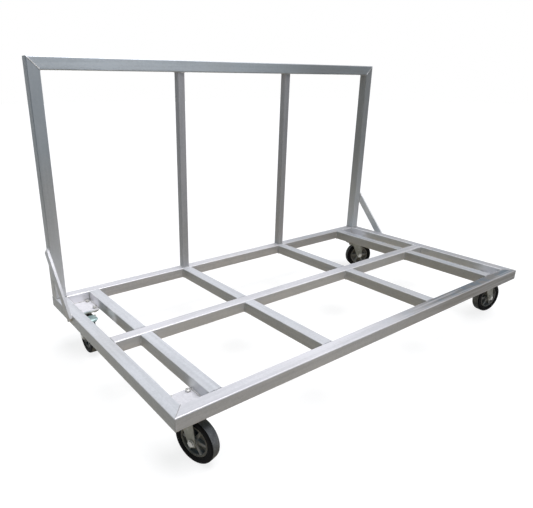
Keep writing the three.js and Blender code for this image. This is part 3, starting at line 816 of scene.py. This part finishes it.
def end_beads(bm, tube, end, sides, finish=WELD):
    """Beads round the butted end of a tube, on the faces named by (axis, side)."""
    for axis, side in sides:
        other = tube.first if axis == tube.second else tube.second
        corner = tube.middle.copy()
        corner[tube.along] = tube.tip(end)
        corner[axis] += side * tube.side / 2
        reach = Vector((0, 0, 0))
        reach[other] = tube.side / 2 - TUBE_RADIUS / 2
        bead(bm, corner - reach, corner + reach, finish=finish)


def corner_bead(bm, corner, axis, length, radius=BEAD_RADIUS, finish=WELD):
    """A bead in a corner, along one axis."""
    reach = Vector((0, 0, 0))
    reach[axis] = length / 2 - TUBE_RADIUS / 2
    bead(bm, corner - reach, corner + reach, radius, finish)


def seam(bm, inner, outer, radius, finish):
    """A mitre seam from the inner corner, ending just short of the outer one."""
    bead(bm, inner, outer.lerp(inner, SEAM_SHORT), radius, finish)


def build_deck_welds():
    bm = bmesh.new()
    for node in CROSSES + ["centre_rail"]:
        tube = Tube(node)
        flank = X if tube.along == Y else Y
        for end in BOTH:
            end_beads(bm, tube, end, [(flank, -1), (flank, 1), (Z, -1)])
    front, left = Tube("front_rail"), Tube("left_end_rail")
    inside_x = abs(left.middle.x) - left.side / 2
    inside_y = abs(front.middle.y) - front.side / 2
    top = front.high.z - SEAM_SINK
    for side in BOTH:
        for end in BOTH:
            corner = Vector((side * inside_x, end * inside_y, front.middle.z))
            corner_bead(bm, corner, Z, front.side)
            outer = Vector((side * (inside_x + left.side), end * (inside_y + front.side), top))
            inner = Vector((corner.x, corner.y, top))
            seam(bm, inner, outer, SEAM_RADIUS, SEAM)
            edge = Vector((outer.x - side * SEAM_SINK, outer.y - end * SEAM_SINK, front.middle.z))
            corner_bead(bm, edge, Z, front.side, SEAM_RADIUS, SEAM)
    add_piece("deck_welds", bm, "frame", "weld+seam")


def build_plate_welds():
    """Beads that hold each caster's corner plate in its slot, on the three sides that meet a tube."""
    bm = bmesh.new()
    for corner in CORNERS:
        low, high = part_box(f"{corner}_corner_plate")
        outer = high.y if low.y > 0 else low.y
        bead(bm, Vector((low.x, outer, high.z)), Vector((high.x, outer, high.z)))
        for x in (low.x, high.x):
            bead(bm, Vector((x, low.y, high.z)), Vector((x, high.y, high.z)))
    add_piece("corner_plate_welds", bm, "frame", "weld")


def build_back_welds():
    bm = bmesh.new()
    for node in UPRIGHTS:
        tube = Tube(node)
        for end in BOTH:
            end_beads(bm, tube, end, [(axis, side) for axis in (X, Y) for side in BOTH])
    top = Tube("top_rail")
    for node, inward in (("left_post", 1), ("right_post", -1)):
        post = Tube(node)
        end_beads(bm, post, -1, [(X, inward), (Y, -1)], SEAM)
        corner = post.middle.copy()
        corner.x += inward * post.side / 2
        corner.z = top.low.z
        corner_bead(bm, corner, Y, post.side)
        for face in BOTH:
            inner = corner + Vector((0, face * (post.side / 2 - SEAM_SINK), 0))
            outer = inner + Vector((-inward * post.side, 0, top.side))
            # The back frame's mitre seams take the lighter weld finish, a painted highlight
            seam(bm, inner, outer, BACK_SEAM_RADIUS, SEAM_HIGHLIGHT)
    add_piece("back_frame_welds", bm, "frame", "weld+seam+bright_seam")


# Braces

def brace_ends(node):
    """The middle of the bar's two ends and its half width, from the slanted CAD bar's corners."""
    points = [vertex.co for vertex in frame["nodes"][node].data.vertices]
    top = max(points, key=lambda p: p.z)
    bottom = min(points, key=lambda p: p.z)
    back = max(points, key=lambda p: p.y)
    front = min(points, key=lambda p: p.y)
    return (top + back) / 2, (bottom + front) / 2, (top.yz - back.yz).length / 2


def build_brace(node, side):
    low_box, high_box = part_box(node)
    middle_x = (low_box.x + high_box.x) / 2
    half_x = (high_box.x - low_box.x) / 2
    high, low, half = brace_ends(node)
    along = Vector((0, high.y - low.y, high.z - low.z))
    across = Vector((0, -along.z, along.y)).normalized()
    outward = Vector((1, 0, 0))
    edge = BRACE_EDGE / along.length
    rings = []
    for t, inset in ((0, BRACE_EDGE), (edge, 0), (1 - edge, 0), (1, BRACE_EDGE)):
        centre = Vector((middle_x, low.y, low.z)) + along * t
        outline = rounded_rectangle(half_x - inset / 2, half - inset / 2, BRACE_EDGE, EDGE_STEPS)
        rings.append([centre + outward * u + across * v for u, v in outline])
    bm = bmesh.new()
    skin(bm, rings)
    add_piece(f"{node}_bar", bm, "frame", "bright_bar", node)

    welds = bmesh.new()
    post = Tube(node.replace("brace", "post"))
    face_x = side * (abs(post.middle.x) + post.side / 2)
    weld_run = post.side * BRACE_WELD_SHARE
    unit = along.normalized()
    for end_point, inward in ((high, -unit), (low, unit)):
        for flank in BOTH:
            near = Vector((face_x, end_point.y, end_point.z)) + across * flank * half
            start = near + inward * BRACE_BEAD
            bead(welds, start, start + inward * weld_run, BRACE_BEAD)
    add_piece(f"{node}_welds", welds, "frame", "weld")


# Casters

class Caster:
    """The swivel axis, wheel centre and trailing direction of one caster, from its joints."""

    def __init__(self, corner):
        self.corner = corner
        swivel = Vector(JOINTS[f"{corner}_swivel_turn"]["pos_m"])
        wheel = Vector(JOINTS[f"{corner}_wheel_roll"]["pos_m"])
        offset = wheel - swivel
        self.trail = offset.xy.length
        self.radius = wheel.z
        axis = Vector((swivel.x, swivel.y, 0))
        self.upright = Matrix.Translation(axis)
        self.turned = self.upright @ Matrix.Rotation(math.atan2(offset.y, offset.x), 4, "Z")
        lay_down = Matrix.Rotation(-QUARTER_TURN, 4, "X")
        self.wheel = self.turned @ Matrix.Translation((self.trail, 0, self.radius)) @ lay_down

    def add(self, part, bm, body, finish, matrix):
        name = f"{self.corner}_{part}"
        add_piece(f"{name}_form", moved(bm, matrix), body, finish, name)


def tyre_form(radius):
    """Seated wall, bulged side with a low ring, round shoulder and a slightly crowned tread."""
    wall = radius - TYRE_SHOULDER
    side = [(TYRE_SEAT + out * MM, -RIM_HALF - past * MM) for out, past in WALL_RING]
    side += [(TYRE_SEAT + out * MM, -TYRE_HALF + short * MM) for out, short in WALL_BULGE]
    side.append((wall, -TYRE_HALF))
    tread_y = -TYRE_HALF + TYRE_SHOULDER
    shoulder = arc((wall, tread_y), TYRE_SHOULDER, -QUARTER_TURN, QUARTER_TURN, SHOULDER_STEPS)
    crown = [(radius - TREAD_CROWN, tread_y), (radius, -TREAD_FLAT_HALF)]
    left = side + shoulder[1:-1] + crown
    right = [(r, -y) for r, y in reversed(left)]
    bm = bmesh.new()
    turn(bm, left + right, WHEEL_SIDES, hollow=True)
    start = len(side) + len(shoulder) - TREAD_LAP
    for face in turned_ring_faces(bm, start, 2 * len(left) - 1 - start, WHEEL_SIDES):
        face.material_index = SECOND_FINISH
    return bm


def hub_form():
    """Boss, filleted web and rim, with tapered spokes on both faces."""
    half = [
        (HUB_BORE, HUB_BOSS_HALF),
        (HUB_BOSS - RIM_EDGE, HUB_BOSS_HALF),
        (HUB_BOSS, HUB_BOSS_HALF - RIM_EDGE),
    ]
    web_start = len(half)
    fillet_y = WEB_HALF + WEB_FILLET
    for fillet_x, start in ((HUB_BOSS + WEB_FILLET, math.pi), (RIM_INNER - WEB_FILLET, 3 * QUARTER_TURN)):
        half += arc((fillet_x, fillet_y), WEB_FILLET, start, QUARTER_TURN, FILLET_STEPS)
    half += [
        (RIM_INNER, RIM_HALF - RIM_EDGE),
        (RIM_INNER + RIM_EDGE, RIM_HALF),
        (RIM_RADIUS, RIM_HALF),
    ]
    disc = bmesh.new()
    turn(disc, half + [(r, -y) for r, y in reversed(half)], WHEEL_SIDES, hollow=True)
    # The web between the spokes and the rim take the darker finish, a painted shade
    for face in turned_ring_faces(disc, web_start, 2 * len(half) - 1 - web_start, WHEEL_SIDES):
        face.material_index = SECOND_FINISH
    spokes = []
    for i in range(SPOKE_COUNT):
        spoke = bmesh.new()
        rings = []
        for reach, width in ((HUB_BOSS - SPOKE_SINK, SPOKE_ROOT), (RIM_INNER + SPOKE_SINK, SPOKE_TIP)):
            outline = rounded_rectangle(width / 2, SPOKE_HALF, SPOKE_EDGE, SPOKE_STEPS)
            rings.append([Vector((reach, u, v)) for u, v in outline])
        skin(spoke, rings)
        spokes.append(moved(spoke, Matrix.Rotation(2 * math.pi * i / SPOKE_COUNT, 4, "Z")))
    return joined(disc, *spokes)


def leg_edge(height, top, side):
    """One edge of a fork leg at a height over the axle: a straight taper that touches the round end."""
    angle = math.atan2(top.y, top.x) - side * math.acos(AXLE_END / top.length)
    touch = Vector((AXLE_END * math.cos(angle), AXLE_END * math.sin(angle)))
    if height >= top.y:
        return top.x
    if height >= touch.y:
        return touch.x + (top.x - touch.x) * (height - touch.y) / (top.y - touch.y)
    return side * math.sqrt(max(AXLE_END ** 2 - height ** 2, 0))


def fork_span(z, axle_z, trail):
    """Front and rear edge of the fork at a height: the crown's front sweeps back into the leg."""
    shoulder = CROWN_TOP - CROWN_SHOULDER
    leg_front = Vector((LEG_SETBACK - CROWN_FRONT - trail, shoulder - LEG_DROP - axle_z))
    leg_rear = Vector((CROWN_REAR - trail, shoulder - axle_z))
    front = trail + leg_edge(z - axle_z, leg_front, -1)
    rear = trail + leg_edge(z - axle_z, leg_rear, 1)
    rise = min(max((z - shoulder + LEG_DROP) / LEG_DROP, 0), 1)
    return front - LEG_SETBACK * eased(rise), rear


def fork_path(axle_z):
    """Stations up one leg, over the crown and down the other: middle of the sheet and its normal, in YZ."""
    bend = FORK_BEND - FORK_THICKNESS / 2
    leg_y = FORK_OUTER - FORK_THICKNESS / 2
    foot = AXLE_END - LEG_END_TRIM
    turns = [QUARTER_TURN * i / LEG_END_STEPS for i in range(LEG_END_STEPS + 1)]
    rise = [axle_z - foot * math.cos(a) for a in turns]
    straight_top = CROWN_TOP - FORK_BEND
    count = round((straight_top - axle_z) / LEG_STEP)
    rise += [axle_z + (straight_top - axle_z) * i / count for i in range(1, count)]
    right = [((leg_y, z), (1, 0)) for z in rise]
    for y, z in arc((leg_y - bend, straight_top), bend, 0, QUARTER_TURN, BEND_STEPS):
        normal = ((y - leg_y + bend) / bend, (z - straight_top) / bend)
        right.append(((y, z), normal))
    left = [((-y, z), (-ny, nz)) for (y, z), (ny, nz) in reversed(right)]
    return right + left


def fork_form(caster):
    """Bent sheet fork: one strip whose width follows the tapered leg and round axle end."""
    rings = []
    for (y, z), (ny, nz) in fork_path(caster.radius):
        front, rear = fork_span(z, caster.radius, caster.trail)
        half_x = (rear - front) / 2
        middle_x = (rear + front) / 2
        edge = min(FORK_EDGE, half_x / 2)
        outline = rounded_rectangle(half_x, FORK_THICKNESS / 2, edge, EDGE_STEPS)
        rings.append([Vector((middle_x + u, y + ny * v, z + nz * v)) for u, v in outline])
    bm = bmesh.new()
    skin(bm, rings)
    return bm


def ear_form(pivot):
    """The two cheeks of the braked fork that hold the pedal's pin."""
    root_x = CROWN_REAR - CROWN_SHOULDER
    low = (root_x, CROWN_TOP - FORK_THICKNESS - CROWN_SHOULDER)
    high = (root_x, CROWN_TOP - FORK_BEND)
    outline = [high, low] + arc((pivot.x, pivot.z), EAR_RADIUS, EAR_START, EAR_SWEEP, EAR_STEPS)
    bm = bmesh.new()
    for side in BOTH:
        faces = [side * (FORK_INNER + EAR_INSET), side * (FORK_OUTER - EAR_INSET)]
        skin(bm, [[Vector((x, y, z)) for x, z in outline] for y in faces])
    return bm


def hex_form(across_flats, bottom, top):
    """A hexagon with chamfered corners at both ends."""
    bm = bmesh.new()
    rings = [
        hexagon(across_flats, bottom, HEX_CHAMFER),
        hexagon(across_flats, bottom + HEX_CHAMFER / 2),
        hexagon(across_flats, top - HEX_CHAMFER / 2),
        hexagon(across_flats, top, HEX_CHAMFER),
    ]
    skin(bm, rings)
    return bm


def thread_form(radius, bottom, top):
    """A threaded shank, ridge by ridge, with a chamfered tip."""
    count = max(2, round((top - bottom) / THREAD_PITCH))
    profile = []
    for i in range(count):
        z = bottom + (top - bottom) * i / count
        profile.append((radius, z))
        profile.append((radius - THREAD_DEPTH, z + (top - bottom) / count / 2))
    profile.append((radius - THREAD_DEPTH, top))
    bm = bmesh.new()
    turn(bm, profile, BOLT_SIDES)
    return bm


def top_plate_form():
    """Rounded plate with its drawn boss, and four bolts with nuts above the corner plate."""
    sheet = bmesh.new()
    levels = [
        (PLATE_BOTTOM, PLATE_EDGE),
        (PLATE_BOTTOM + PLATE_EDGE, 0),
        (PLATE_TOP - PLATE_EDGE, 0),
        (PLATE_TOP, PLATE_EDGE),
    ]
    rings = []
    for z, inset in levels:
        outline = rounded_rectangle(PLATE_HALF[X] - inset, PLATE_HALF[Y] - inset, PLATE_RADIUS - inset)
        rings.append([Vector((u, v, z)) for u, v in outline])
    skin(sheet, rings)
    boss = bmesh.new()
    profile = [
        (BOSS_BORE, BOSS_BOTTOM),
        (BOSS_RADIUS - PLATE_EDGE, BOSS_BOTTOM),
        (BOSS_RADIUS, BOSS_BOTTOM + PLATE_EDGE),
        (BOSS_RADIUS, PLATE_BOTTOM + PLATE_EDGE),
        (BOSS_BORE, PLATE_BOTTOM + PLATE_EDGE),
    ]
    turn(boss, profile, RING_SIDES, hollow=True)
    parts = [sheet, boss]
    nut_top = CORNER_PLATE_TOP + BOLT_NUT
    for x in BOTH:
        for y in BOTH:
            place = Matrix.Translation((x * BOLT_PITCH[X] / 2, y * BOLT_PITCH[Y] / 2, 0))
            bolt = joined(
                hex_form(BOLT_HEX, PLATE_BOTTOM - BOLT_HEAD, PLATE_BOTTOM + PLATE_EDGE),
                hex_form(BOLT_HEX, CORNER_PLATE_TOP, nut_top),
                thread_form(BOLT_RADIUS, PLATE_BOTTOM, nut_top + BOLT_END),
            )
            for face in bolt.faces:
                face.material_index = SECOND_FINISH
            parts.append(moved(bolt, place))
    return joined(*parts)


def race_form():
    """Rolled ring with a groove where its two halves meet."""
    middle = (RACE_BOTTOM + RACE_TOP) / 2
    centre = (RACE_RADIUS - RACE_ROUND, RACE_BOTTOM + RACE_ROUND)
    outer = [(RACE_INNER, RACE_BOTTOM)] + arc(centre, RACE_ROUND, -QUARTER_TURN, QUARTER_TURN, BEND_STEPS)
    outer += [(RACE_RADIUS, middle - RACE_GROOVE), (RACE_RADIUS - RACE_GROOVE, middle)]
    upper = [(r, 2 * middle - z) for r, z in reversed(outer[:-1])]
    bm = bmesh.new()
    turn(bm, outer + upper, RING_SIDES, hollow=True)
    return bm


def axle_bolt_form():
    seat = FORK_OUTER + SEAT_GAP
    head = hex_form(AXLE_HEX, -seat - AXLE_HEAD, -seat - WASHER_THICKNESS / 2)
    washer = ring_form(AXLE_RADIUS, WASHER_RADIUS, -seat - WASHER_THICKNESS, -seat)
    shaft = bmesh.new()
    turn(shaft, [(AXLE_RADIUS, -seat - WASHER_THICKNESS), (AXLE_RADIUS, seat)], RING_SIDES)
    thread = thread_form(AXLE_RADIUS, seat - SEAT_GAP, seat + AXLE_NUT + AXLE_TAIL)
    return joined(head, washer, shaft, thread)


def axle_nut_form():
    """Lock nut: a hexagon on a round flange, with a domed collar."""
    seat = FORK_OUTER + SEAT_GAP
    bore = AXLE_RADIUS + SEAT_GAP
    flange = ring_form(bore, WASHER_RADIUS, seat, seat + WASHER_THICKNESS)
    body = bmesh.new()
    low = seat + WASHER_THICKNESS / 2
    high = seat + AXLE_NUT * NUT_HEX_SHARE
    rings = [
        hexagon(AXLE_HEX, low),
        hexagon(AXLE_HEX, high - HEX_CHAMFER),
        hexagon(AXLE_HEX, high, HEX_CHAMFER),
        circle(bore, high, HEX_SIDES),
        circle(bore, low, HEX_SIDES),
    ]
    skin(body, rings, closed=True)
    collar = bmesh.new()
    crown = seat + AXLE_NUT
    edge = AXLE_HEX / 2 - HEX_CHAMFER
    profile = [(bore, high - HEX_CHAMFER), (edge, high - HEX_CHAMFER), (edge, crown - HEX_CHAMFER)]
    profile += [(edge - HEX_CHAMFER, crown), (bore, crown)]
    turn(collar, profile, RING_SIDES, hollow=True)
    return joined(flange, body, collar)


def pedal_form():
    """Barrel on the pin, and a foot plate with turned-down flanges, round corners and a rolled lip."""
    barrel = ring_form(BARREL_BORE, BARREL_RADIUS, -BARREL_HALF, BARREL_HALF)
    moved(barrel, Matrix.Rotation(-QUARTER_TURN, 4, "X"))
    plate = bmesh.new()
    lip_start = PEDAL_LENGTH - PEDAL_LIP
    path = [(PEDAL_LENGTH * t, 0, 0) for t in NECK_SHARES]
    path += [(PEDAL_NECK_LENGTH + PEDAL_FLARE * i / FLARE_STEPS, 0, 0) for i in range(FLARE_STEPS + 1)]
    path += [(PEDAL_LENGTH * t, 0, 0) for t in BODY_SHARES]
    for i in range(LIP_STEPS + 1):
        angle = QUARTER_TURN * i / LIP_STEPS
        path.append((lip_start + PEDAL_LIP * math.sin(angle), -PEDAL_LIP * (1 - math.cos(angle)), angle))
    rings = [pedal_ring(*station) for station in path]
    skin(plate, rings)
    moved(plate, Matrix.Translation((0, 0, PEDAL_SEAT)))
    return moved(joined(barrel, plate), Matrix.Rotation(-PEDAL_SLOPE, 4, "Y"))


def pedal_half_width(x):
    """Narrow between the fork's cheeks, flared past them, and rounded at the toe."""
    if x < PEDAL_NECK_LENGTH:
        return PEDAL_NECK
    flare = min(1, (x - PEDAL_NECK_LENGTH) / PEDAL_FLARE)
    width = PEDAL_NECK + (PEDAL_HALF - PEDAL_NECK) * eased(flare)
    toe = x - (PEDAL_LENGTH - PEDAL_CORNER)
    if toe > 0:
        width -= PEDAL_CORNER - math.sqrt(max(PEDAL_CORNER ** 2 - toe ** 2, 0))
    return width


def pedal_ring(x, z, tilt):
    """Section of the pedal at one station: a flat top with turned-down edges, square to the path."""
    half = pedal_half_width(x)
    t = PEDAL_THICKNESS
    drop = PEDAL_FLANGE if x > PEDAL_NECK_LENGTH else t
    if tilt:
        drop = t * LIP_DROP_SHARE
    edge = [
        (half - t, t),
        (half - t / 3, t * ROUND_EDGE_SHARE),
        (half, t - drop),
        (half - t, t - drop),
        (half - t, 0),
    ]
    section = edge + [(-y, h) for y, h in reversed(edge)]
    up = Vector((math.sin(tilt), 0, math.cos(tilt)))
    return [Vector((x, y, z)) + up * h for y, h in section]


def build_caster(corner):
    caster = Caster(corner)
    swivel, wheel = f"{corner}_swivel", f"{corner}_wheel"
    caster.add("top_plate", top_plate_form(), "frame", "zinc_plate+bright_steel", caster.upright)
    caster.add("swivel_race", race_form(), swivel, "bright_steel", caster.turned)
    caster.add("axle_bolt", axle_bolt_form(), swivel, "bright_steel", caster.wheel)
    caster.add("axle_nut", axle_nut_form(), swivel, "bright_steel", caster.wheel)
    caster.add("hub", hub_form(), wheel, "hub_grey+hub_pocket", caster.wheel)
    caster.add("tyre", tyre_form(caster.radius), wheel, "tyre+tread", caster.wheel)
    forms = [fork_form(caster)]
    brake = JOINTS.get(f"{corner}_brake_press")
    if brake:
        pivot = caster.turned.inverted() @ Vector(brake["pos_m"])
        forms.append(ear_form(pivot))
        place = caster.turned @ Matrix.Translation(pivot)
        caster.add("brake_pedal", pedal_form(), f"{corner}_brake", "blue_zinc", place)
    caster.add("fork", joined(*forms), swivel, "zinc_plate", caster.turned)


# CAD nodes that stay as they are take their slot's finish

def finish_kept_nodes():
    slots = {part["node"]: part["material_slot"] for part in frame["record"]["subparts"]}
    for node, piece in frame["nodes"].items():
        piece.data.materials.clear()
        piece.data.materials.append(FINISHES[slots[node]])


# Studio

WHITE = rgb(1, 1, 1)
FLOOR_PALE = rgb(0.86, 0.86, 0.86)
FLOOR_HALF = 30
FLOOR_DROP = 0.2 * MM
FLOOR_GLOW = 0.7
FLOOR_SHINE = 1.2
SKY_FILL = rgb(0.052, 0.10, 0.122)
BOUNCE_NEAR = rgb(0.405, 0.31, 0.17)
BOUNCE_FAR = rgb(0.035, 0.05, 0.075)
BOUNCE_REACH = (0.9, 2.4)
BOUNCE_CENTRE = (-0.35, 0, 0)
LAMP_TINT = (0.985, 0.955, 0.985)
SUN_STRENGTH = 2.95
SUN_SPREAD = math.radians(42)
SUN_TILT = (math.radians(7), math.radians(7.5), 0)
SOFTBOX_POWER = 5.0
SOFTBOX_PLACE = (-0.75, -0.2, 1.9)
SOFTBOX_SIZE = 1.0
SOFTBOX_AIM = (-0.8, 0.5, 1.2)


def seen_directly(root):
    """1 for camera, mirror and glass rays, 0 for the rays that light other surfaces."""
    names = ("Is Camera Ray", "Is Glossy Ray", "Is Transmission Ray")
    camera, glossy, transmission = [root.node("ShaderNodeLightPath", out=name) for name in names]
    return camera.largest(glossy, transmission)


def build_floor():
    material = bpy.data.materials.new("studio_floor")
    material.use_nodes = True
    tree = material.node_tree
    tree.nodes.clear()
    root = Wire(tree)
    pale = root.node("ShaderNodeBsdfDiffuse", inputs={"Color": FLOOR_PALE})
    glow = root.node("ShaderNodeEmission", inputs={"Color": WHITE, "Strength": FLOOR_SHINE})
    shown = root.node("ShaderNodeMixShader", inputs={0: FLOOR_GLOW, 1: pale, 2: glow})
    place = root.node("ShaderNodeTexCoord", out="Object")
    bounce = distance(place, BOUNCE_CENTRE).steps(*BOUNCE_REACH).blend(BOUNCE_NEAR, BOUNCE_FAR)
    dim = root.node("ShaderNodeBsdfDiffuse", inputs={"Color": bounce})
    surface = root.node("ShaderNodeMixShader", inputs={0: seen_directly(root), 1: dim, 2: shown})
    root.node("ShaderNodeOutputMaterial", inputs={"Surface": surface})
    bm = bmesh.new()
    bmesh.ops.create_grid(bm, x_segments=1, y_segments=1, size=FLOOR_HALF)
    mesh = bpy.data.meshes.new("studio_floor")
    moved(bm, Matrix.Translation((0, 0, -FLOOR_DROP))).to_mesh(mesh)
    bm.free()
    mesh.materials.append(material)
    floor = bpy.data.objects.new("studio_floor", mesh)
    scene.collection.objects.link(floor)


def build_world():
    world = bpy.data.worlds.new("studio")
    world.use_nodes = True
    scene.world = world
    tree = world.node_tree
    tree.nodes.clear()
    root = Wire(tree)
    colour = seen_directly(root).blend(SKY_FILL, WHITE)
    sky = root.node("ShaderNodeBackground", inputs={"Color": colour, "Strength": 1})
    root.node("ShaderNodeOutputWorld", inputs={"Surface": sky})


def add_lamp(name, kind, settings, place, rotation):
    light = bpy.data.lights.new(name, kind)
    for key, value in settings.items():
        setattr(light, key, value)
    lamp = bpy.data.objects.new(name, light)
    lamp.location = place
    lamp.rotation_euler = rotation
    scene.collection.objects.link(lamp)


def build_lamps():
    sun = {"energy": SUN_STRENGTH, "angle": SUN_SPREAD, "color": LAMP_TINT}
    add_lamp("overhead", "SUN", sun, (0, 0, 0), SUN_TILT)
    aim = Vector(SOFTBOX_AIM) - Vector(SOFTBOX_PLACE)
    softbox = {"energy": SOFTBOX_POWER, "size": SOFTBOX_SIZE, "color": LAMP_TINT}
    add_lamp("softbox", "AREA", softbox, SOFTBOX_PLACE, aim.to_track_quat("-Z", "Y").to_euler())


def place_camera():
    data = bpy.data.cameras.new("camera")
    data.lens = CAMERA_LENS
    data.sensor_width = CAMERA_SENSOR
    data.shift_x, data.shift_y = CAMERA_SHIFT
    camera = bpy.data.objects.new("camera", data)
    camera.location = CAMERA_PLACE
    camera.rotation_euler = (QUARTER_TURN - CAMERA_DIP, 0, -CAMERA_AZIMUTH)
    scene.collection.objects.link(camera)
    scene.camera = camera


scene.view_settings.view_transform = "Standard"
place_camera()
build_world()
build_lamps()
build_floor()
finish_kept_nodes()
build_frame_tubes()
build_deck_welds()
build_plate_welds()
build_back_welds()
build_brace("left_brace", -1)
build_brace("right_brace", 1)
for corner in CORNERS:
    build_caster(corner)
